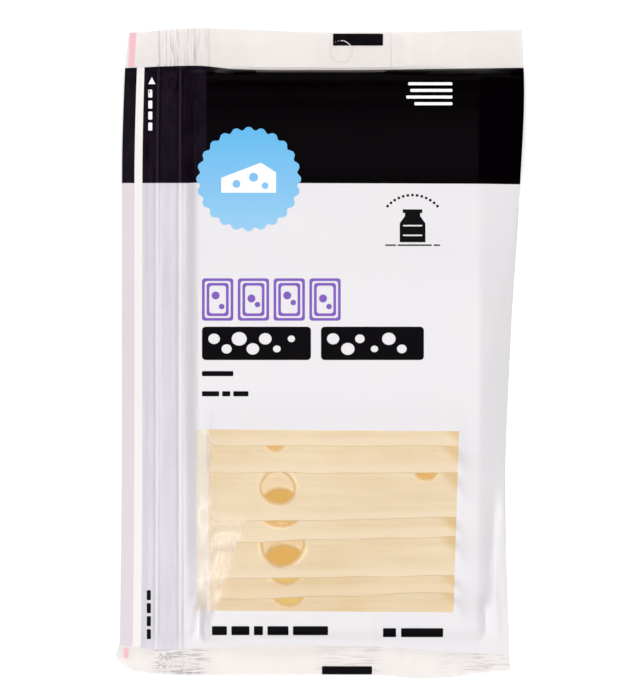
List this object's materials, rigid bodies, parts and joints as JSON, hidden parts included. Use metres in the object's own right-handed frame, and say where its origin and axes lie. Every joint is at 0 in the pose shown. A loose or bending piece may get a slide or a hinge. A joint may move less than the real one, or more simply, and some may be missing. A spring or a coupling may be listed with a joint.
{
  "type": "pack of sliced cheese",
  "caption": "Flat sealed film pack with a press-to-close strip along one side and a clear window over overlapping cheese slices.",
  "frame": {"origin": "middle of the pack's footprint on the surface it lies on", "axes": "+Z out of the printed front, +Y towards the hanging end with the black band, +X away from the closing strip"},
  "size_m": [0.1346, 0.2146, 0.0255],
  "materials": {
    "printed_film": "satin",
    "clear_film": "gloss",
    "cheese": "satin"
  },
  "bodies": {
    "root": {"pouch": "printed_film", "window_film": "clear_film", "slice_01": "cheese", "slice_02": "cheese", "slice_03": "cheese", "slice_04": "cheese", "slice_05": "cheese", "slice_06": "cheese", "slice_07": "cheese", "slice_08": "cheese", "slice_09": "cheese", "slice_10": "cheese"}
  },
  "joints": []
}
